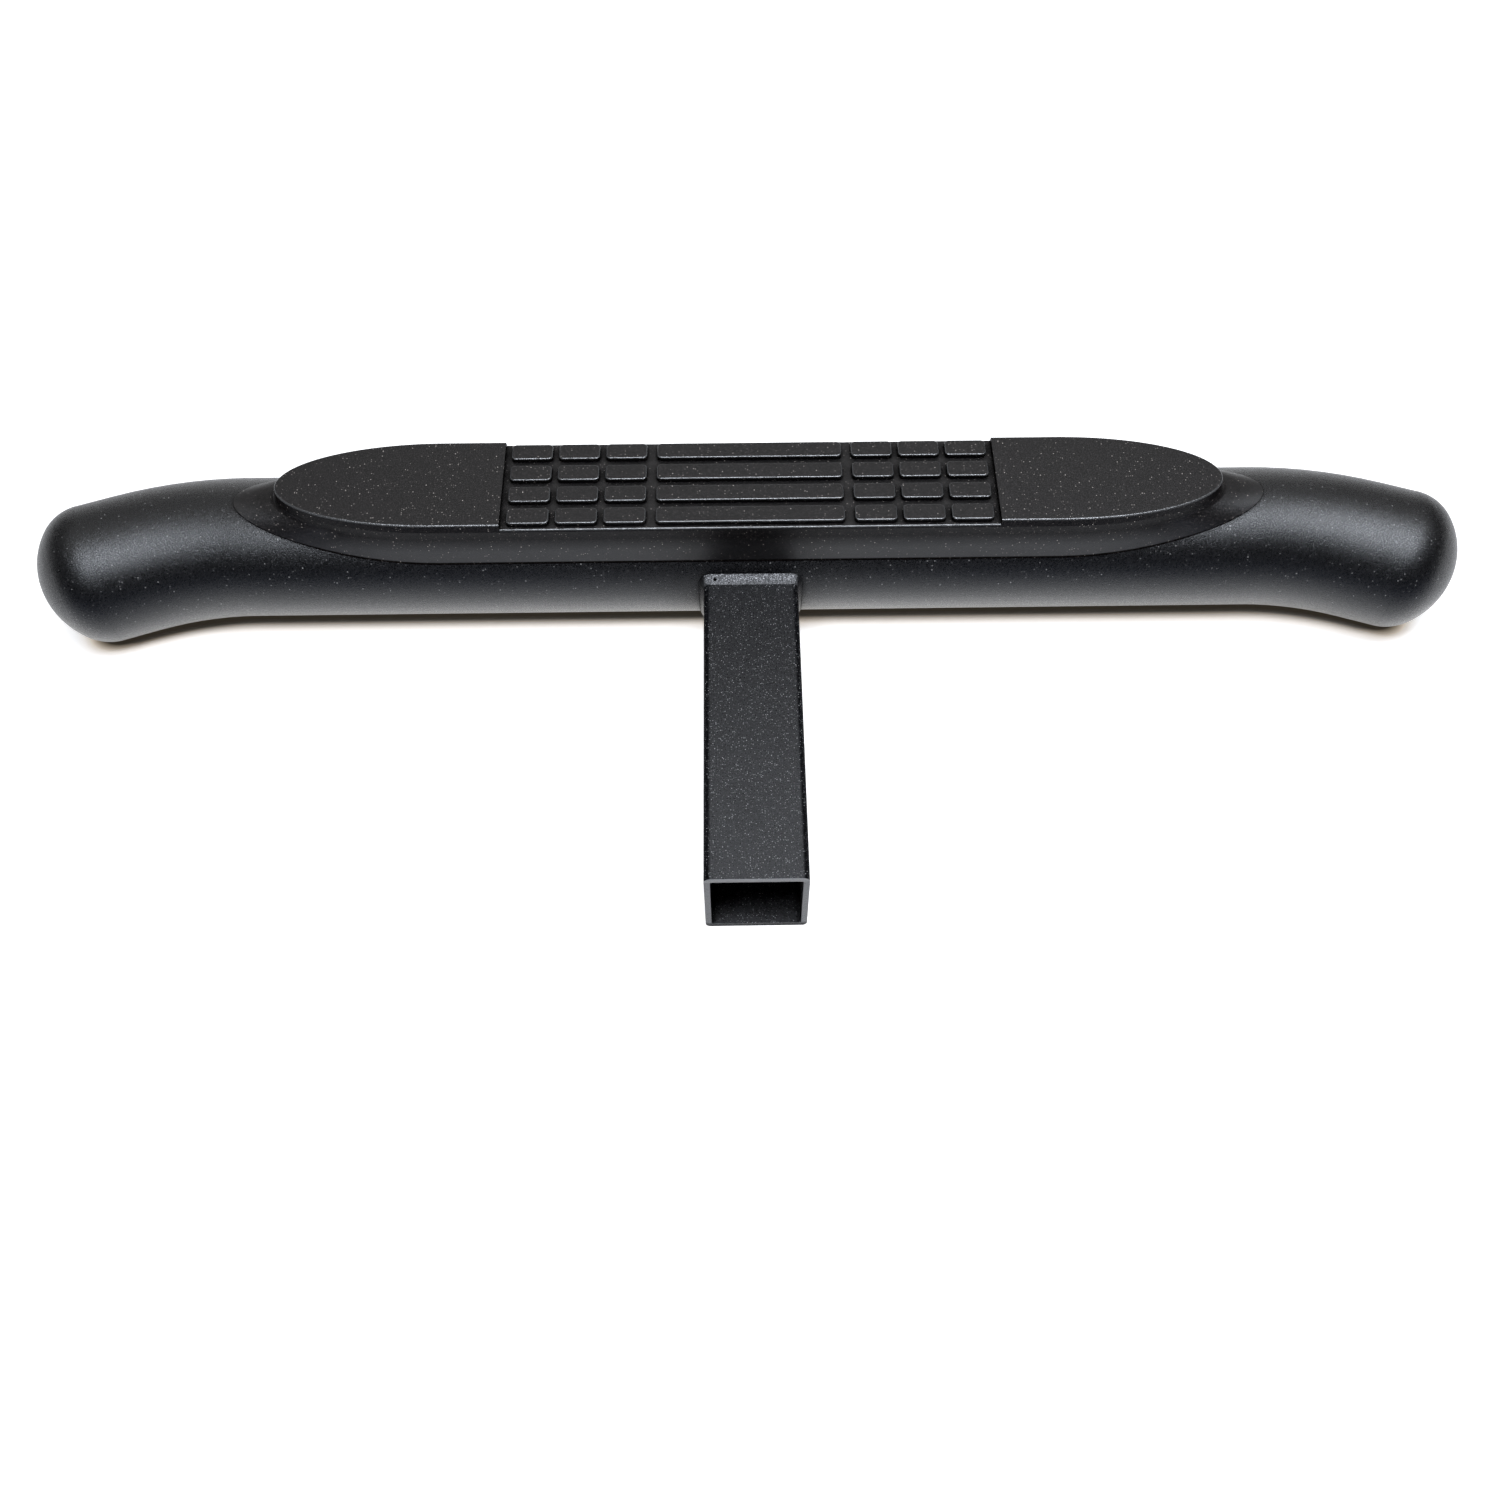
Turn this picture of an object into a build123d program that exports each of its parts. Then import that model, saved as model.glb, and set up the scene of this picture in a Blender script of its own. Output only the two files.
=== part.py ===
from build123d import *
import os
from math import atan2, cos, degrees, pi, sin, sqrt

# Hitch receiver step: a bent round bar on a square shank, with a moulded pad to stand on.
# Lengths are in millimetres, angles in degrees.

# Round bar with dished end caps
TUBE_DIAMETER = 76.2
TUBE_WALL = 2.0
BAR_STRAIGHT = 553.0
BEND_RADIUS = 185.0
BEND_ANGLE = 19.7
END_STRAIGHT = 19.4
CAP_HEIGHT = 31.1
CAP_KNUCKLE = 26.0
DRAIN_HOLE = 8.0

# Square shank that slides into a receiver, and its weld
SHANK_SIZE = 50.8
SHANK_WALL = 3.0
SHANK_CORNER = 3.2
SHANK_INNER_CORNER = 1.0
SHANK_REACH = 217.7
PIN_HOLE = 16.5
PIN_FROM_END = 63.5
WELD_BAR_LEG = 2.6
WELD_SHANK_LEG = 4.5

# Moulded pad: two raised end fields, a lower tread field and a skirt down to the bar
PAD_STRAIGHT = 330.6
PAD_SETBACK = 8.75
PAD_NOSE = 86.2
PAD_RISE = 12.0
PAD_WALL = 2.6
RISER_HEIGHT = 7.5
RISER_DRAFT = 1.0
SKIRT_FLARE = 2.3
SKIRT_NOSE_FLARE = 24.6
SKIRT_EDGE = 0.8
COVE_RADIUS = 3.0
EDGE_ROUND = 1.1
PAD_FIT = 0.1

# Tread field
TREAD_LENGTH = 262.0
TREAD_DEPTH = 3.0
BLOCK_HEIGHT = 2.6
BLOCK_CORNER = 2.5
BLOCK_ROUND = 0.8
ROWS = 4
BLOCKS_PER_SIDE = 3
LONG_BLOCK = 99.0
ROW_GAP = 4.4
BLOCK_GAP = 3.2
LONG_BLOCK_GAP = 5.2
SIDE_MARGIN = 1.5
END_MARGIN = 3.5

# Ribs under the pad, and push-in clips in two of the bays on each side of the middle one
RIB_PITCH = 40.0
RIB_THICKNESS = 2.2
RIBS_PER_SIDE = 6
INNER_CLIP_BAY = 2
OUTER_CLIP_BAY = 5
CLIP_STEM = 6.0
CLIP_HOLE = 7.0
CLIP_BARB = 8.4
CLIP_BARBS = 3
BARB_PITCH = 3.2
BARB_HEIGHT = 2.4
CLIP_FLANGE = 14.0
FLANGE_THICKNESS = 1.4
CLIP_HEAD = 12.0
HEAD_THICKNESS = 1.8
BOSS_DIAMETER = 19.0
BOSS_LIP = 2.0
CLIP_PLAY = 0.2

# Sizes and levels that follow, measured from the middle of the bar's axis
TUBE_RADIUS = TUBE_DIAMETER / 2
TUBE_BORE = TUBE_RADIUS - TUBE_WALL
SHANK_LEVEL = SHANK_SIZE / 2 - TUBE_RADIUS
SHANK_FOOT = sqrt(TUBE_RADIUS**2 - (TUBE_RADIUS - SHANK_WALL) ** 2)
PIN_DISTANCE = SHANK_REACH - PIN_FROM_END
PAD_WIDTH = TUBE_DIAMETER - 2 * PAD_SETBACK
PAD_HALF = PAD_WIDTH / 2
PAD_TOP = TUBE_RADIUS + PAD_RISE
CREASE = PAD_TOP - RISER_HEIGHT
BRIM_HALF = PAD_HALF + SKIRT_FLARE
BRIM_NOSE = PAD_NOSE + SKIRT_NOSE_FLARE
TREAD_FLOOR = PAD_TOP - TREAD_DEPTH
CEILING = TREAD_FLOOR - PAD_WALL
BLOCK_WIDTH = (PAD_WIDTH - 2 * SIDE_MARGIN - (ROWS - 1) * ROW_GAP) / ROWS
BLOCK_RUN = (TREAD_LENGTH - LONG_BLOCK) / 2 - LONG_BLOCK_GAP - END_MARGIN
BLOCK_LENGTH = (BLOCK_RUN - (BLOCKS_PER_SIDE - 1) * BLOCK_GAP) / BLOCKS_PER_SIDE
RIB_STATIONS = [(index + 0.5) * RIB_PITCH for index in range(-RIBS_PER_SIDE, RIBS_PER_SIDE)]
CLIP_BAYS = (-OUTER_CLIP_BAY, -INNER_CLIP_BAY, INNER_CLIP_BAY, OUTER_CLIP_BAY)
CLIP_STATIONS = [bay * RIB_PITCH for bay in CLIP_BAYS]
FLANGE_TOP = TUBE_RADIUS + FLANGE_THICKNESS
LIP_BOTTOM = FLANGE_TOP + CLIP_PLAY
HEAD_BOTTOM = LIP_BOTTOM + BOSS_LIP + CLIP_PLAY
HEAD_TOP = HEAD_BOTTOM + HEAD_THICKNESS

# The part's origin is the centre of the hitch pin hole
TO_PIN_HOLE = Pos(0, PIN_DISTANCE, -SHANK_LEVEL)

UPWARD = (Align.CENTER, Align.CENTER, Align.MIN)
DOWNWARD = (Align.CENTER, Align.CENTER, Align.MAX)
NOSE_SPANS = 8
COVE_STEPS = 3
TOUCH = 0.01


def bar_path():
    """Centre line of the bar: straight, with both ends bent towards the shank."""
    middle = Line((-BAR_STRAIGHT / 2, 0, 0), (BAR_STRAIGHT / 2, 0, 0))
    bend = JernArc(middle @ 1, middle % 1, BEND_RADIUS, -BEND_ANGLE)
    end = Line(bend @ 1, bend @ 1 + (bend % 1) * END_STRAIGHT)
    right = [bend, end]
    left = [mirror(edge, about=Plane.YZ) for edge in right]
    return Wire([middle, *[edge.edge() for edge in right + left]])


def bar_solid(radius):
    """Solid round bar of this radius along the whole centre line."""
    path = bar_path()
    section = Plane(origin=path @ 0, z_dir=path % 0) * Circle(radius)
    return sweep(section, path)


def main_tube():
    """Bent tube with clip holes along its top and a drain hole under each bend."""
    tube = bar_solid(TUBE_RADIUS) - bar_solid(TUBE_BORE)
    for x in CLIP_STATIONS:
        tube -= Pos(x, 0, 0) * Cylinder(CLIP_HOLE / 2, TUBE_DIAMETER, align=UPWARD)
    for x in (-BAR_STRAIGHT / 2, BAR_STRAIGHT / 2):
        tube -= Pos(x, 0, 0) * Cylinder(DRAIN_HOLE / 2, TUBE_DIAMETER, align=DOWNWARD)
    return tube


def dished_head(inset):
    """Solid dome on a tube end: a knuckle arc that runs into a flatter crown, both inset."""
    knuckle_x = TUBE_RADIUS - CAP_KNUCKLE
    rise = CAP_HEIGHT - CAP_KNUCKLE
    centres = (rise**2 + knuckle_x**2) / (2 * rise)
    crown_z = CAP_HEIGHT - CAP_KNUCKLE - centres
    turn = degrees(atan2(-crown_z, knuckle_x))
    knuckle = CenterArc((knuckle_x, 0), CAP_KNUCKLE - inset, 0, turn)
    crown = CenterArc((0, crown_z), CAP_KNUCKLE + centres - inset, turn, 90 - turn)
    axis = Line(crown @ 1, (0, 0))
    rim = Line((0, 0), knuckle @ 0)
    return revolve(Plane.XZ * make_face([knuckle, crown, axis, rim]), Axis.Z)


def end_cap(end):
    """Pressed dome with the tube's wall, butted on one end of the tube."""
    path = bar_path()
    outward = path % end if end == 1 else -(path % end)
    return Plane(origin=path @ end, z_dir=outward) * (dished_head(0) - dished_head(TUBE_WALL))


def receiver_shank():
    """Square tube, coped to the round one, with a cross hole for the hitch pin."""
    hollow = SHANK_SIZE - 2 * SHANK_WALL
    section = RectangleRounded(SHANK_SIZE, SHANK_SIZE, SHANK_CORNER)
    section -= RectangleRounded(hollow, hollow, SHANK_INNER_CORNER)
    open_end = Plane.XZ.offset(SHANK_REACH) * Pos(0, SHANK_LEVEL)
    shank = extrude(open_end * section, SHANK_FOOT - SHANK_REACH)
    shank -= bar_solid(TUBE_RADIUS)
    pin = Cylinder(PIN_HOLE / 2, 2 * SHANK_SIZE, rotation=(0, 90, 0))
    return shank - Pos(0, -PIN_DISTANCE, SHANK_LEVEL) * pin


def on_joint(edge):
    """True for an edge on the bar's surface within the shank's width."""
    middle = edge @ 0.5
    radius = sqrt(middle.Y**2 + middle.Z**2)
    return abs(radius - TUBE_RADIUS) < TOUCH and abs(middle.X) < SHANK_SIZE / 2 + TOUCH


def shank_weld():
    """Flat weld round the joint, closed by a bead between the bar and the shank's bottom wall."""
    reach = 2 * TUBE_DIAMETER
    bar = Cylinder(TUBE_RADIUS, reach, rotation=(0, 90, 0))
    section = RectangleRounded(SHANK_SIZE, reach, SHANK_CORNER, align=(Align.CENTER, Align.MAX))
    across = Plane.XZ.offset(reach / 2) * Pos(0, SHANK_LEVEL + SHANK_SIZE / 2)
    post = extrude(across * section, -reach)
    joined = bar + post
    joint = [edge for edge in joined.edges() if on_joint(edge)]
    around = joined.faces().filter_by(GeomType.CYLINDER).sort_by(SortBy.AREA)[-1]
    weld = chamfer(joint, WELD_BAR_LEG, WELD_SHANK_LEG, reference=around) - bar - post
    foot = Pos(0, -SHANK_FOOT, -TUBE_RADIUS)
    weld &= foot * Box(reach, reach, reach, align=(Align.CENTER, Align.MAX, Align.MIN))
    width = SHANK_SIZE + WELD_BAR_LEG
    bead = foot * Box(width, SHANK_FOOT / 2, SHANK_WALL, align=(Align.CENTER, Align.MIN, Align.MIN))
    return weld + (bead - bar)


def nose_arc(nose, half_width):
    """Right nose of the pad's plan, half an ellipse."""
    return EllipticalCenterArc((PAD_STRAIGHT / 2, 0), nose, half_width, -90, arc_size=180)


def boat_outline(nose, half_width):
    """Plan of the pad: straight sides closed by half ellipses."""
    right = nose_arc(nose, half_width)
    left = Rot(0, 0, 180) * right
    rear = Line(right @ 1, left @ 0)
    front = Line(left @ 1, right @ 0)
    return make_face([right, rear, left, front])


def nose_line(nose, half_width, height):
    """Right nose of the plan, raised to a height that follows the distance from the middle."""
    angles = [pi * (step / NOSE_SPANS - 0.5) for step in range(NOSE_SPANS + 1)]
    points = []
    for angle in angles:
        y = half_width * sin(angle)
        points.append((PAD_STRAIGHT / 2 + nose * cos(angle), y, height(y)))
    ends = [(nose, 0, 0), (-nose, 0, 0)]
    return Edge.make_spline(points, tangents=ends, parameters=angles, scale=False)


def cove_levels(flare):
    """Concave arc between riser and skirt, as shares of the nose's flare with heights over the crease."""
    share = COVE_RADIUS / flare
    angles = [pi / 2 * step / COVE_STEPS for step in range(COVE_STEPS + 1)]
    return [(share * (1 - cos(angle)), COVE_RADIUS * (1 - sin(angle))) for angle in angles]


def skirt_body(inset, brim, brim_radius, crease, levels):
    """Solid under the pad's plan that flares to a brim round the bar, then drops to its axis."""
    nose = PAD_NOSE - inset
    half_width = PAD_HALF - inset
    brim_nose, brim_half = brim
    top = crease + levels[0][1]
    lines = [(Pos(0, 0, top) * nose_arc(nose, half_width)).edge()]
    for share, rise in levels[1:]:
        wide = half_width + share * (brim_half - half_width)

        def height(y):
            foot = sqrt(brim_radius**2 - (y / wide * brim_half) ** 2)
            return crease + rise + share * (foot - crease)

        lines.append(nose_line(nose + share * (brim_nose - nose), wide, height))
    lines.append(nose_arc(brim_nose, brim_half).edge())
    faces = [Pos(0, 0, top) * boat_outline(nose, half_width), boat_outline(brim_nose, brim_half)]
    for upper, lower in zip(lines, lines[1:]):
        flank = Face.make_surface_from_curves(upper, lower)
        faces += [flank, mirror(flank, about=Plane.YZ)]
        for end in (0, 1):
            right = Line(upper @ end, lower @ end)
            left = mirror(right, about=Plane.YZ)
            faces.append(Face.make_surface_from_curves(right.edge(), left.edge()))
    return Part() + Solid(Shell([face.face() for face in faces]))


def is_level(edge):
    """True for an edge that starts out level."""
    return abs((edge % 0).Z) < TOUCH


def raised_fields():
    """Upper part of the pad on a drafted riser, with its tread field cut lower and edges rounded."""
    foot = boat_outline(PAD_NOSE + RISER_DRAFT, PAD_HALF + RISER_DRAFT)
    top = boat_outline(PAD_NOSE, PAD_HALF)
    body = loft([Pos(0, 0, CREASE + COVE_RADIUS) * foot, Pos(0, 0, PAD_TOP) * top], ruled=True)
    body -= Pos(0, 0, TREAD_FLOOR) * Box(TREAD_LENGTH, 2 * PAD_WIDTH, TREAD_DEPTH, align=UPWARD)
    upper = body.edges().filter_by_position(Axis.Z, TREAD_FLOOR - TOUCH, PAD_TOP + TOUCH)
    rim = upper.filter_by(Axis.Y, reverse=True).filter_by(is_level)
    return fillet(rim, EDGE_ROUND)


def tread_block(length):
    """One block of the tread, sunk a little into the field that it grows from."""
    block = extrude(RectangleRounded(length, BLOCK_WIDTH, BLOCK_CORNER), BLOCK_HEIGHT + PAD_WALL / 2)
    block = fillet(block.edges().group_by(Axis.Z)[-1], BLOCK_ROUND)
    return Pos(0, 0, TREAD_FLOOR - PAD_WALL / 2) * block


def tread_blocks():
    """Rows of short blocks on both sides of a long one."""
    long_block = tread_block(LONG_BLOCK)
    short_block = tread_block(BLOCK_LENGTH)
    first = (LONG_BLOCK + BLOCK_LENGTH) / 2 + LONG_BLOCK_GAP
    blocks = []
    for row in range(ROWS):
        y = (row - (ROWS - 1) / 2) * (BLOCK_WIDTH + ROW_GAP)
        blocks.append(Pos(0, y) * long_block)
        for index in range(BLOCKS_PER_SIDE):
            x = first + index * (BLOCK_LENGTH + BLOCK_GAP)
            blocks += [Pos(-x, y) * short_block, Pos(x, y) * short_block]
    return blocks


def clip_pocket():
    """Keyhole that takes a clip's head and neck, open towards the back of the pad."""
    head_width = CLIP_HEAD + 2 * CLIP_PLAY
    neck_width = CLIP_STEM + 2 * CLIP_PLAY
    pocket = Part()
    for width, low, high in (
        (head_width, HEAD_BOTTOM - CLIP_PLAY, HEAD_TOP + CLIP_PLAY),
        (neck_width, LIP_BOTTOM - CLIP_PLAY, HEAD_BOTTOM),
    ):
        mouth = Box(width, BOSS_DIAMETER, high - low, align=(Align.CENTER, Align.MIN, Align.MIN))
        pocket += Pos(0, 0, low) * (mouth + Cylinder(width / 2, high - low, align=UPWARD))
    return pocket


def pad_hollow():
    """Space under the pad, with ribs and clip bosses left standing in it."""
    nose = PAD_NOSE - PAD_WALL
    half_width = PAD_HALF - PAD_WALL
    crease = CREASE - PAD_WALL
    brim = (BRIM_NOSE - 4 * PAD_WALL, BRIM_HALF - PAD_WALL)
    hollow = skirt_body(PAD_WALL, brim, TUBE_RADIUS, crease, [(0, 0), (1, 0)])
    hollow += extrude(Pos(0, 0, crease) * boat_outline(nose, half_width), PAD_TOP - PAD_WALL - crease)
    under_tread = Box(TREAD_LENGTH + 2 * PAD_WALL, PAD_WIDTH, TREAD_DEPTH, align=UPWARD)
    hollow -= Pos(0, 0, CEILING) * under_tread
    for x in RIB_STATIONS:
        hollow -= Pos(x, 0, 0) * Box(RIB_THICKNESS, PAD_WIDTH, PAD_TOP, align=UPWARD)
    boss = Pos(0, 0, LIP_BOTTOM) * Cylinder(BOSS_DIAMETER / 2, PAD_RISE, align=UPWARD)
    boss -= clip_pocket()
    for x in CLIP_STATIONS:
        hollow -= Pos(x, 0, 0) * boss
    return hollow


def step_pad():
    """Pad in one moulding, saddled on the bar."""
    levels = [*cove_levels(SKIRT_NOSE_FLARE - RISER_DRAFT), (1, 0)]
    pad = skirt_body(-RISER_DRAFT, (BRIM_NOSE, BRIM_HALF), TUBE_RADIUS + SKIRT_EDGE, CREASE, levels)
    pad += raised_fields()
    pad += tread_blocks()
    pad -= pad_hollow()
    return pad - bar_solid(TUBE_RADIUS + PAD_FIT)


def pad_clip():
    """Push-in clip: head in the pad's boss, flange on the bar, barbs inside it."""
    stem = CLIP_STEM / 2
    outline = [
        (0, HEAD_TOP),
        (CLIP_HEAD / 2, HEAD_TOP),
        (CLIP_HEAD / 2, HEAD_BOTTOM),
        (stem, HEAD_BOTTOM),
        (stem, FLANGE_TOP),
        (CLIP_FLANGE / 2, FLANGE_TOP),
        (CLIP_FLANGE / 2, TUBE_RADIUS),
        (stem, TUBE_RADIUS),
    ]
    level = sqrt(TUBE_BORE**2 - (CLIP_BARB / 2) ** 2) - CLIP_PLAY
    for _ in range(CLIP_BARBS):
        outline += [(stem, level), (CLIP_BARB / 2, level), (stem, level - BARB_HEIGHT)]
        level -= BARB_PITCH
    outline += [(stem, level), (stem / 2, level - BARB_HEIGHT), (0, level - BARB_HEIGHT)]
    profile = make_face(Polyline(*outline, close=True))
    return revolve(Plane.XZ * profile, Axis.Z)


def pad_clips():
    """The same clip at every station along the bar."""
    clip = pad_clip()
    return Compound([Pos(x, 0, 0) * clip for x in CLIP_STATIONS])


def main():
    os.makedirs("parts", exist_ok=True)
    pieces = {
        "main_tube": main_tube(),
        "left_end_cap": end_cap(0),
        "right_end_cap": end_cap(1),
        "receiver_shank": receiver_shank(),
        "shank_weld": shank_weld(),
        "step_pad": step_pad(),
        "pad_clips": pad_clips(),
    }
    for name, piece in pieces.items():
        export_step(TO_PIN_HOLE * piece, f"parts/{name}.step")


main()
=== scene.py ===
import bmesh
import bpy
from math import cos, radians, sin
from mathutils import Matrix, Vector, noise


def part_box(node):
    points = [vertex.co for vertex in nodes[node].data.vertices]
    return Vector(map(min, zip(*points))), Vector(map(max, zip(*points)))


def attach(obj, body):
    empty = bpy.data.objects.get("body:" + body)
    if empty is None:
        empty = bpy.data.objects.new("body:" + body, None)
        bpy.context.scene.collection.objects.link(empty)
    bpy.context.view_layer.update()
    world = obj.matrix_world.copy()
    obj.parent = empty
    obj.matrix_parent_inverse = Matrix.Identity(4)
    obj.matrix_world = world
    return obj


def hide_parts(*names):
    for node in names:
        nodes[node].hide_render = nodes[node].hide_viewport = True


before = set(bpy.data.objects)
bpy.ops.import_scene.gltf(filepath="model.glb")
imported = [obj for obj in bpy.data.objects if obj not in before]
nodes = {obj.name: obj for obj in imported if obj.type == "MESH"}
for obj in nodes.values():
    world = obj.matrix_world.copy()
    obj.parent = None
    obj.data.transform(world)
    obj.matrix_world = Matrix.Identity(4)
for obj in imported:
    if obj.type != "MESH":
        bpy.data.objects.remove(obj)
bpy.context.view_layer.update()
scene = bpy.context.scene
scene.view_settings.view_transform = "Standard"

# Places on the part, in metres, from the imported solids
FLOOR_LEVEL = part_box("main_tube")[0].z
BAR_LINE = sum(shank_painted_shade_sheen.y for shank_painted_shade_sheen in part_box("step_pad")) / 2
BAR_LEVEL = sum(shank_painted_shade_sheen.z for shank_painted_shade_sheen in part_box("main_tube")) / 2
BAR_RADIUS = BAR_LEVEL - FLOOR_LEVEL
SHANK_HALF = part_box("receiver_shank")[1].x
PAD_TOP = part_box("step_pad")[1].z
OPEN_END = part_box("receiver_shank")[0].y

# Half the bar's straight length, where its ends begin to close, and its bend radius
BAR_HALF = 0.2765
BAR_END = 0.352
BEND = 0.185

# Camera, from a pinhole fit to the photograph's edges
FOCAL_PIXELS = 1487.46
IMAGE_PIXELS = 1500
PITCH, YAW, ROLL = 57.894, 1.001, 0.124
CAMERA_PLACE = (-0.009007, -0.386018, 0.654804)


def add_camera():
    pitch, yaw, roll = radians(PITCH), radians(YAW), radians(ROLL)
    forward = Vector((sin(yaw) * cos(pitch), cos(yaw) * cos(pitch), -sin(pitch)))
    level = Vector((cos(yaw), -sin(yaw), 0))
    upward = level.cross(forward)
    right = cos(roll) * level + sin(roll) * upward
    up = cos(roll) * upward - sin(roll) * level
    data = bpy.data.cameras.new("camera")
    data.sensor_width = 36
    data.lens = FOCAL_PIXELS / IMAGE_PIXELS * data.sensor_width
    data.clip_start = 0.01
    camera = bpy.data.objects.new("camera", data)
    scene.collection.objects.link(camera)
    turn = Matrix((right, up, -forward)).transposed()
    camera.matrix_world = Matrix.Translation(CAMERA_PLACE) @ turn.to_4x4()
    scene.camera = camera


def add_area_light(name, place, target, size, watts, colour):
    data = bpy.data.lights.new(name, "AREA")
    data.shape = "RECTANGLE"
    data.size, data.size_y = size
    data.energy = watts
    data.color = colour
    light = bpy.data.objects.new(name, data)
    scene.collection.objects.link(light)
    light.location = place
    light.rotation_euler = (Vector(target) - Vector(place)).to_track_quat("-Z", "Y").to_euler()


class Nodes:
    """Short way to write a material's node tree."""

    def __init__(self, material):
        material.use_nodes = True
        self.tree = material.node_tree
        self.tree.nodes.clear()

    def add(self, kind, inputs=None, **settings):
        node = self.tree.nodes.new(kind)
        for key, value in settings.items():
            setattr(node, key, value)
        for key, value in (inputs or {}).items():
            self.put(node, key, value)
        return node

    def put(self, node, key, value):
        socket = node.inputs[key]
        if hasattr(value, "is_output"):
            self.tree.links.new(value, socket)
        else:
            socket.default_value = value

    def math(self, operation, first, second=0.0):
        return self.add("ShaderNodeMath", {0: first, 1: second}, operation=operation).outputs[0]

    def noise(self, place, scale, detail):
        inputs = {"Vector": place, "Scale": scale, "Detail": detail}
        return self.add("ShaderNodeTexNoise", inputs).outputs[0]

    def ramp(self, value, low, high, out_low, out_high):
        inputs = {0: value, 1: low, 2: high, 3: out_low, 4: out_high}
        return self.add("ShaderNodeMapRange", inputs).outputs[0]

    def mix(self, share, first, second):
        node = self.add("ShaderNodeMix", data_type="RGBA")
        for index, value in ((0, share), (6, first), (7, second)):
            self.put(node, index, value)
        return node.outputs[2]

    def blend(self, share, first, second):
        inputs = {0: share, 2: first, 3: second}
        return self.add("ShaderNodeMix", inputs, data_type="FLOAT").outputs[0]

    def shaders(self, share, first, second):
        return self.add("ShaderNodeMixShader", {0: share, 1: first, 2: second}).outputs[0]


# Texture scales per metre; painted shade in creases, by reach in metres and share of open sky; plain
# specular level
FINE_GRAIN, COARSE_GRAIN, SPECK_CELLS = 2800.0, 1500.0, 760.0
CREASE_SHADE_REACH, CREASE_SHADE_SHARES = 0.004, (0.58, 0.94)
PLAIN_SHEEN = 0.5
ROUGH_SPREAD = 0.07


def grainy(name, colours, rough, relief, ior, specks, local=None, crease_shade=CREASE_SHADE_SHARES, cells=SPECK_CELLS):
    """Dark finish with a fine grain in relief, paler grains and sparse light specks, with painted shade in
    creases: colour and reflection darkened where an occlusion mask finds little open sky.
    """
    dark, pale, speck = [(*colour, 1) for colour in colours]
    material = bpy.data.materials.new(name)
    tree = Nodes(material)
    place = tree.add("ShaderNodeTexCoord").outputs["Object"]
    fine = tree.noise(place, FINE_GRAIN, 1.0)
    coarse = tree.noise(place, COARSE_GRAIN, 2.0)
    cell = tree.add("ShaderNodeTexVoronoi", {"Vector": place, "Scale": cells}).outputs
    chance = tree.add("ShaderNodeSeparateColor", {0: cell["Color"]}).outputs
    chosen = tree.math("LESS_THAN", chance[0], specks)
    strong = tree.math("MULTIPLY", chosen, tree.ramp(chance[1], 0.4, 1.0, 0.25, 1.0))
    near = tree.ramp(cell["Distance"], 0.1, 0.34, 1.0, 0.0)
    dots = tree.math("MULTIPLY", strong, near)
    body = tree.mix(tree.ramp(coarse, 0.5, 0.68, 0.0, 1.0), dark, pale)
    paint = tree.mix(dots, body, speck)
    gloss = tree.ramp(coarse, 0.35, 0.65, rough - ROUGH_SPREAD, rough + ROUGH_SPREAD)
    sheen = PLAIN_SHEEN
    if local:
        paint, gloss, sheen = local(tree, place, paint, gloss)
    # Painted shade: creases get a darker colour and a weaker reflection from the occlusion mask
    free = tree.add("ShaderNodeAmbientOcclusion", {"Distance": CREASE_SHADE_REACH}, samples=4).outputs["AO"]
    unshaded_share = tree.ramp(free, *crease_shade, 0.0, 1.0)
    height = tree.math("ADD", fine, coarse)
    bump = tree.add("ShaderNodeBump", {"Height": height, "Strength": 1.0, "Distance": relief})
    shader = tree.add("ShaderNodeBsdfPrincipled", {"IOR": ior})
    tree.put(shader, "Base Color", tree.mix(unshaded_share, (0, 0, 0, 1), paint))
    tree.put(shader, "Roughness", gloss)
    tree.put(shader, "Specular IOR Level", tree.math("MULTIPLY", unshaded_share, sheen))
    tree.put(shader, "Normal", bump.outputs[0])
    output = tree.add("ShaderNodeOutputMaterial")
    tree.put(output, "Surface", shader.outputs[0])
    return material


# Depths below the pad's top of the edges' painted highlight, the wall's painted shade and the skirt's
# painted highlight, and heights off the bar of the brim's painted shade line
EDGE_DEPTH = 0.0042
WALL_FOOT, WALL_HEAD = 0.0193, 0.0101
SADDLE_LOW, SADDLE_HIGH = 0.0110, 0.0090
BRIM_LOW, BRIM_HIGH = 0.0009, 0.0012
# Paler paint and a stronger reflection on the pad's upper edges make a painted highlight
EDGE_HIGHLIGHT_PAINT, EDGE_HIGHLIGHT_ROUGH, EDGE_HIGHLIGHT_SHEEN = (0.05, 0.05, 0.05, 1), 0.18, 1.0


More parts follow.
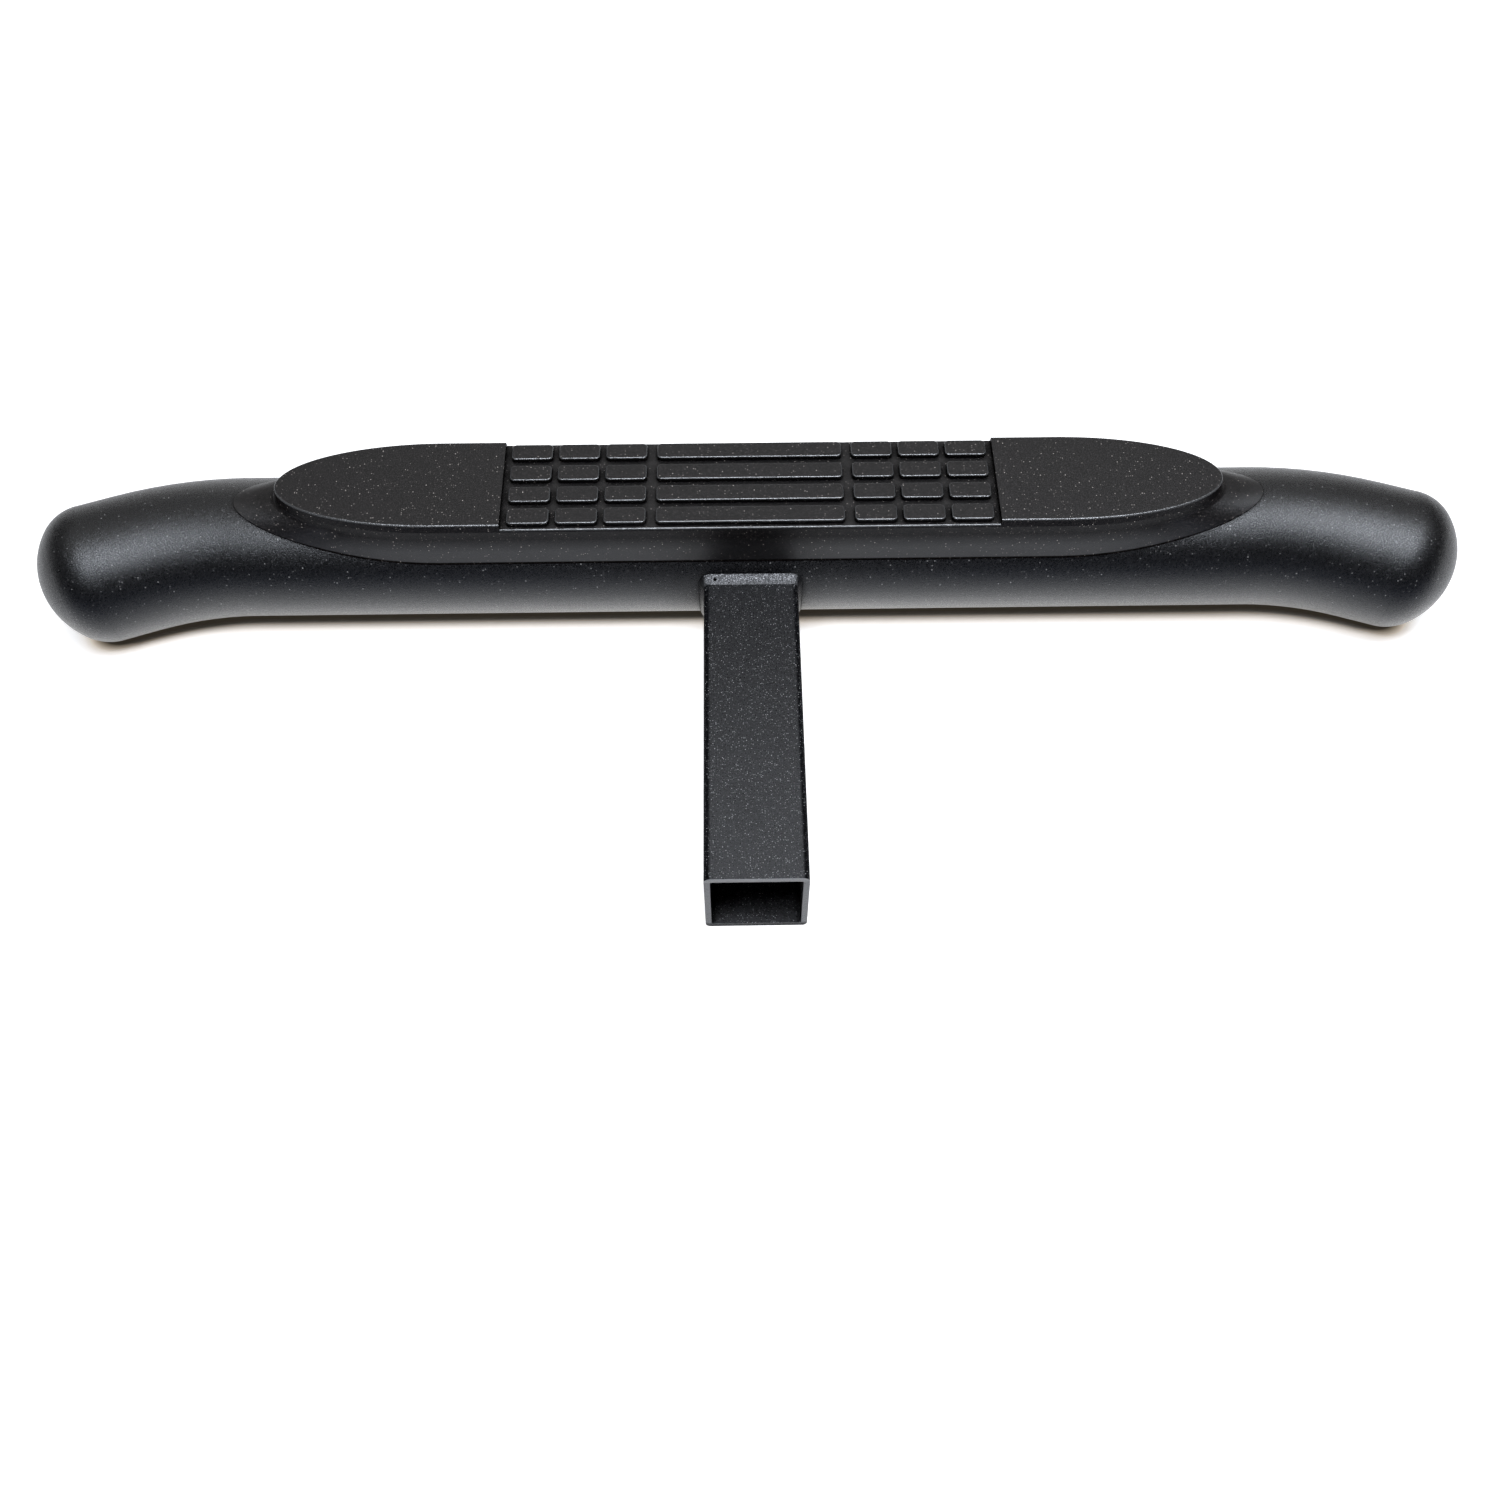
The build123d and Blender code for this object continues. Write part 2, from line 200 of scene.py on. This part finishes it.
def pad_places(tree, place, paint, gloss):
    """Pad's upper edges paler and more reflective, a painted highlight; its walls reflect less upwards,
    painted shade; its skirt below the top reflects more, a painted highlight; its skirt's lower edge
    without reflection, a painted shade line.
    """
    level = tree.add("ShaderNodeSeparateXYZ", {0: place}).outputs["Z"]
    normal = tree.add("ShaderNodeNewGeometry").outputs["Normal"]
    upward = tree.add("ShaderNodeSeparateXYZ", {0: normal}).outputs["Z"]
    # Painted highlight: the pad's upper rounded edges
    turned = tree.math("MULTIPLY", tree.ramp(upward, 0.3, 0.5, 0, 1), tree.ramp(upward, 0.93, 0.98, 1, 0))
    edge = tree.math("MULTIPLY", turned, tree.math("GREATER_THAN", level, PAD_TOP - EDGE_DEPTH))
    wall = tree.ramp(upward, 0.25, 0.4, 1, 0)
    # Painted shade: the walls reflect less towards the top
    wall_painted_shade = tree.ramp(level, PAD_TOP - WALL_FOOT, PAD_TOP - WALL_HEAD, 0.65, 0.18)
    axis = {0: place, 1: (0, BAR_LINE, BAR_LEVEL)}
    across = tree.add("ShaderNodeVectorMath", axis, operation="SUBTRACT").outputs[0]
    across = tree.add("ShaderNodeVectorMath", {0: across, 1: (0, 1, 1)}, operation="MULTIPLY").outputs[0]
    radius = tree.add("ShaderNodeVectorMath", {0: across}, operation="LENGTH").outputs["Value"]
    # Painted shade line: no reflection along the skirt's lower edge
    lip = tree.ramp(radius, BAR_RADIUS + BRIM_LOW, BAR_RADIUS + BRIM_HIGH, 1, 0)
    brim_painted_shade = tree.math("MULTIPLY", wall, lip)
    # Painted highlight: the skirt below the top reflects more
    skirt_painted_highlight = tree.ramp(level, PAD_TOP - SADDLE_LOW, PAD_TOP - SADDLE_HIGH, 0.8, PLAIN_SHEEN)
    sheen = tree.blend(edge, tree.blend(wall, skirt_painted_highlight, wall_painted_shade), EDGE_HIGHLIGHT_SHEEN)
    sheen = tree.math("MULTIPLY", tree.math("SUBTRACT", 1.0, brim_painted_shade), sheen)
    return tree.mix(edge, paint, EDGE_HIGHLIGHT_PAINT), tree.blend(edge, gloss, EDGE_HIGHLIGHT_ROUGH), sheen


SIDE_BEAD_PAINT = (0.005, 0.005, 0.0055, 1)


def weld_places(tree, place, paint, gloss):
    """Weld pale along the shank's top, partly its grainy coat and partly a painted highlight; its side
    beads dark, their reflection dimmed upwards as painted shade.
    """
    axes = tree.add("ShaderNodeSeparateXYZ", {0: place}).outputs
    ends = tree.ramp(tree.math("ABSOLUTE", axes["X"]), SHANK_HALF - 0.0008, SHANK_HALF + 0.0002, 1, 0)
    # Painted highlight in part: the weld's top takes its pale grains, the side beads the dark coat
    pale_top_and_highlight = tree.math("MULTIPLY", ends, tree.ramp(axes["Z"], SHANK_HALF, SHANK_HALF + 0.0011, 0.25, 1))
    # Painted shade: the side beads reflect less towards the top
    side_painted_shade = tree.ramp(axes["Z"], 0.004, 0.020, PLAIN_SHEEN, 0.2)
    return tree.mix(pale_top_and_highlight, SIDE_BEAD_PAINT, paint), gloss, tree.blend(ends, side_painted_shade, PLAIN_SHEEN)


# The sawn end's top wall is paler still, a painted highlight
SAWN_PAINT, SAWN_TOP_HIGHLIGHT_PAINT = (0.12, 0.12, 0.125, 1), (0.2, 0.2, 0.205, 1)


def shank_places(tree, place, paint, gloss):
    """Shank's upper corners and the part near the bar reflect less, painted shade; its sawn end under a
    paler coat, paler still on the top wall as a painted highlight, fading out on the bottom wall as
    painted shade.
    """
    axes = tree.add("ShaderNodeSeparateXYZ", {0: place}).outputs
    end = tree.ramp(axes["Y"], OPEN_END + 0.0001, OPEN_END + 0.0003, 1, 0)
    # Painted shade: the pale end fades out on the bottom wall
    pale_end_share = tree.math("MULTIPLY", end, tree.ramp(axes["Z"], -0.0225, -0.021, 0.1, 1))
    # Painted shade: less reflection towards the bar
    near_bar_painted_shade = tree.ramp(axes["Y"], 0.0, 0.11, PLAIN_SHEEN, 0.38)
    normal = tree.add("ShaderNodeNewGeometry").outputs["Normal"]
    upward = tree.add("ShaderNodeSeparateXYZ", {0: normal}).outputs["Z"]
    # Painted shade: the upper rounded corners barely reflect
    facing = tree.ramp(upward, 0.02, 0.1, 0, 1)
    turned = tree.ramp(tree.math("ABSOLUTE", axes["X"]), 0.0220, 0.0232, 1, 0.06)
    shank_painted_shade_sheen = tree.math("MULTIPLY", near_bar_painted_shade, tree.blend(facing, 1.0, turned))
    end_coat_and_highlight = tree.mix(tree.ramp(axes["Z"], 0.0222, 0.0228, 0, 1), SAWN_PAINT, SAWN_TOP_HIGHLIGHT_PAINT)
    return tree.mix(pale_end_share, paint, end_coat_and_highlight), gloss, tree.blend(end, shank_painted_shade_sheen, PLAIN_SHEEN)


# Colours of each finish: its body, its paler grains and its specks
BLACK = (0.0015, 0.0015, 0.0018)
BAR_COLOURS = (BLACK, (0.010, 0.010, 0.011), (0.40, 0.39, 0.38))
SHANK_COLOURS = (BLACK, (0.016, 0.016, 0.018), (0.5, 0.5, 0.5))
# The weld's pale grains and specks are partly a painted highlight along its top
WELD_COLOURS = ((0.012, 0.012, 0.013), (0.32, 0.32, 0.33), (0.8, 0.8, 0.81))
PAD_COLOURS = ((0.002, 0.0016, 0.0016), (0.0175, 0.0140, 0.0138), (0.46, 0.41, 0.37))

bar_coat = grainy("bar_coat", BAR_COLOURS, rough=0.30, relief=0.00014, ior=1.66, specks=0.10)
shank_coat = grainy(
    "shank_coat", SHANK_COLOURS, rough=0.34, relief=0.0002, ior=1.44, specks=0.42, local=shank_places,
    cells=1300.0,
)
weld_coat = grainy(
    "weld_coat", WELD_COLOURS, rough=0.34, relief=0.0002, ior=1.55, specks=0.4, local=weld_places,
)
pad_plastic = grainy(
    "pad_plastic", PAD_COLOURS, rough=0.38, relief=0.0001, ior=1.54, specks=0.15, local=pad_places,
    crease_shade=(0.50, 0.89), cells=900.0,
)
clip_plastic = grainy("clip_plastic", PAD_COLOURS, rough=0.45, relief=0.00007, ior=1.45, specks=0.02)
finishes = {
    "main_tube": bar_coat,
    "left_end_cap": bar_coat,
    "right_end_cap": bar_coat,
    "receiver_shank": shank_coat,
    "shank_weld": weld_coat,
    "step_pad": pad_plastic,
    "pad_clips": clip_plastic,
}
for name, material in finishes.items():
    mesh = nodes[name].data
    mesh.materials.clear()
    mesh.materials.append(material)


# Weld's rough skin: pinholes, heights and scales of its grain, its plain border, and its mesh's edges
PINHOLES = [Vector((-0.0193, 0.1165, 0.0266)), Vector((-0.0268, 0.1160, 0.0190))]
PINHOLE_RADIUS, PINHOLE_DEPTH = 0.0009, 0.0013
WELD_GRAINS = ((0.00012, 1000), (0.00008, 2000))
SMOOTH_BORDER = 0.0006
WELD_FOOT, WELD_SHOWS = -0.024, 0.015
SHORT_EDGE, LONG_EDGE = 0.0005, 0.0012
ROUNDS = 9


def weld_relief(point):
    """Height of the weld's rough skin over its plain face, nothing where it meets the steel."""
    off_bar = Vector((0, point.y - BAR_LINE, point.z - BAR_LEVEL)).length - BAR_RADIUS
    off_shank = max(abs(point.x), abs(point.z)) - SHANK_HALF
    free = min(1.0, max(0.0, min(off_bar, off_shank, point.z - WELD_FOOT) / SMOOTH_BORDER))
    grain = sum(height * noise.noise(point * scale) for height, scale in WELD_GRAINS)
    for pinhole in PINHOLES:
        share = (point - pinhole).length / PINHOLE_RADIUS
        grain -= PINHOLE_DEPTH * max(0.0, 1 - share**2)
    return free * grain


def is_long(edge):
    """True for an edge that is too long to carry the weld's grain, which is finest on the upper side."""
    level = (edge.verts[0].co.z + edge.verts[1].co.z) / 2
    return edge.calc_length() > (SHORT_EDGE if level > WELD_SHOWS else LONG_EDGE)


def add_weld():
    """The weld in a finer mesh, grainy, with two pinholes."""
    skin = bmesh.new()
    skin.from_mesh(nodes["shank_weld"].data)
    bmesh.ops.remove_doubles(skin, verts=skin.verts, dist=1e-6)
    for _ in range(ROUNDS):
        bmesh.ops.subdivide_edges(skin, edges=list(filter(is_long, skin.edges)), cuts=1)
        bmesh.ops.triangulate(skin, faces=skin.faces)
    skin.normal_update()
    moves = [vertex.normal * weld_relief(vertex.co) for vertex in skin.verts]
    for vertex, move in zip(skin.verts, moves):
        vertex.co += move
    mesh = bpy.data.meshes.new("weld_skin")
    skin.to_mesh(mesh)
    skin.free()
    mesh.materials.append(weld_coat)
    weld = bpy.data.objects.new("weld_skin", mesh)
    scene.collection.objects.link(weld)
    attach(weld, "root")
    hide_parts("shank_weld")


add_weld()


def sheet(name, corners, material):
    mesh = bpy.data.meshes.new(name)
    mesh.from_pydata(corners, [], [(0, 1, 2, 3)])
    piece = bpy.data.objects.new(name, mesh)
    scene.collection.objects.link(piece)
    mesh.materials.append(material)


# Paper, the painted shadow's core and its warm rim, and the painted dark and glow that the bar mirrors in
# front and close by
PAPER, SHADOW_CORE = (0.97, 0.945, 0.91, 1), (0.22, 0.17, 0.12, 1)
SHADOW_RIM, WHITE = (1.0, 0.84, 0.66, 1), (1, 1, 1, 1)
MIRRORED_FRONT, MIRRORED_CLOSE = (0.0, 0.02, 0.07, 1), (1.0, 0.97, 0.92, 1)
# Painted light that lifts the shadow's core off black
CORE_LIGHT = 0.02


def bar_offset(tree, sideways, along):
    """Distance on the floor from the bar's bent line."""
    beyond = tree.math("MAXIMUM", tree.math("SUBTRACT", sideways, BAR_HALF), 0.0)
    bent = tree.math("DIVIDE", tree.math("MULTIPLY", beyond, beyond), 2 * BEND)
    aside = tree.math("SUBTRACT", BAR_LINE, tree.math("ADD", along, bent))
    past = tree.math("MAXIMUM", tree.math("SUBTRACT", sideways, BAR_END), 0.0)
    square = tree.math("ADD", tree.math("MULTIPLY", aside, aside), tree.math("MULTIPLY", past, past))
    return tree.math("SQRT", square)


def seen_paper(tree, sideways, offset):
    """Paper as the camera sees it: white, with a warm painted shadow over the cast one, softer at the
    bar's tips.
    """
    # Painted shadow: dark warm colour close to the bar, where the white glow is left out
    close = tree.ramp(offset, 0.021, 0.026, 1.0, 0.0)
    lit = tree.add("ShaderNodeBsdfDiffuse", {"Color": tree.mix(close, PAPER, SHADOW_CORE)}).outputs[0]
    outward = tree.math("ADD", offset, tree.ramp(sideways, 0.345, 0.375, 0.0, 0.006))
    cream = tree.mix(tree.ramp(outward, 0.025, 0.036, 0, 1), SHADOW_RIM, WHITE)
    far = tree.ramp(offset, 0.3, 1.2, 0.5, 1.0)
    shine = tree.math("MULTIPLY", far, tree.ramp(outward, 0.0230, 0.0285, 0.0, 1.0))
    shine = tree.math("MAXIMUM", shine, CORE_LIGHT)
    clear = tree.add("ShaderNodeEmission", {"Color": cream, "Strength": shine}).outputs[0]
    return tree.add("ShaderNodeAddShader", {0: lit, 1: clear}).outputs[0]


def mirrored_paper(tree, sideways, along, offset):
    """Paper as the coats mirror it: painted dark far in front, glowing close to the bar as a painted
    reflection.
    """
    front = tree.ramp(along, -0.04, 0.10, 0.05, 1.0)
    shade = tree.math("MAXIMUM", front, tree.ramp(sideways, 0.04, 0.08, 1.0, 0.0))
    dim = tree.add("ShaderNodeBsdfDiffuse", {"Color": tree.mix(shade, MIRRORED_FRONT, PAPER)}).outputs[0]
    middle = tree.ramp(sideways, 0.05, 0.25, 1.4, 1.0)
    # Painted reflection: the paper glows close to the bar for the coats only
    glow = tree.math("MULTIPLY", middle, tree.ramp(offset, 0.03, 0.07, 0.68, 0.0))
    near = tree.add("ShaderNodeEmission", {"Color": MIRRORED_CLOSE, "Strength": glow}).outputs[0]
    return tree.add("ShaderNodeAddShader", {0: dim, 1: near}).outputs[0]


def floor_material():
    """White paper, clear from below: the camera sees it white, with a shadow close to the bar, partly cast
    and partly painted.
    """
    material = bpy.data.materials.new("paper")
    tree = Nodes(material)
    place = tree.add("ShaderNodeNewGeometry").outputs["Position"]
    axes = tree.add("ShaderNodeSeparateXYZ", {0: place}).outputs
    sideways = tree.math("ABSOLUTE", axes[0])
    offset = bar_offset(tree, sideways, axes[1])
    seen = seen_paper(tree, sideways, offset)
    mirrored = mirrored_paper(tree, sideways, axes[1], offset)
    plain = tree.add("ShaderNodeBsdfDiffuse", {"Color": PAPER}).outputs[0]
    path = tree.add("ShaderNodeLightPath").outputs
    other = tree.shaders(path["Is Glossy Ray"], plain, mirrored)
    upper = tree.shaders(path["Is Camera Ray"], other, seen)
    below = tree.add("ShaderNodeNewGeometry").outputs["Backfacing"]
    glass = tree.add("ShaderNodeBsdfTransparent").outputs[0]
    output = tree.add("ShaderNodeOutputMaterial")
    tree.put(output, "Surface", tree.shaders(below, upper, glass))
    return material


# Floor's reach to the front and sides, and to the back
REACH, BACK = 3.0, 1.2
plan = [(-REACH, -REACH), (REACH, -REACH), (REACH, BACK), (-REACH, BACK)]
sheet("floor", [(x, y, FLOOR_LEVEL) for x, y in plan], floor_material())


def add_world():
    """Soft surroundings: pale behind the object, dark in front of it, white to the camera."""
    world = bpy.data.worlds.new("world")
    scene.world = world
    tree = Nodes(world)
    way = tree.add("ShaderNodeTexCoord").outputs["Generated"]
    axes = tree.add("ShaderNodeSeparateXYZ", {0: way}).outputs
    behind = tree.ramp(axes["Y"], 0.75, 1.0, 0.03, 0.9)
    across = tree.ramp(axes["X"], -0.5, 0.5, 0.9, 1.1)
    above = tree.math("MULTIPLY", tree.ramp(axes["Z"], 0.5, 0.8, 0.0, 0.6), across)
    rear = tree.ramp(axes["Y"], -0.3, 0.2, 0.0, 1.0)
    strength = tree.math("ADD", behind, tree.math("MULTIPLY", above, rear))
    path = tree.add("ShaderNodeLightPath").outputs
    strength = tree.blend(path["Is Camera Ray"], strength, 1.0)
    light = tree.add("ShaderNodeBackground", {"Color": WHITE, "Strength": strength})
    output = tree.add("ShaderNodeOutputWorld")
    tree.put(output, "Surface", light.outputs[0])


# Long soft lamp over the bar: place, aim and size in metres, strength in watts, colour
KEY_PLACE, KEY_AIM, KEY_SIZE = (0.08, -0.14, 1.1), (0, 0.1, 0), (1.2, 0.40)
KEY_WATTS, KEY_COLOUR = 19.5, (0.93, 0.985, 1.08)

add_camera()
add_world()
add_area_light("key", KEY_PLACE, KEY_AIM, KEY_SIZE, KEY_WATTS, KEY_COLOUR)
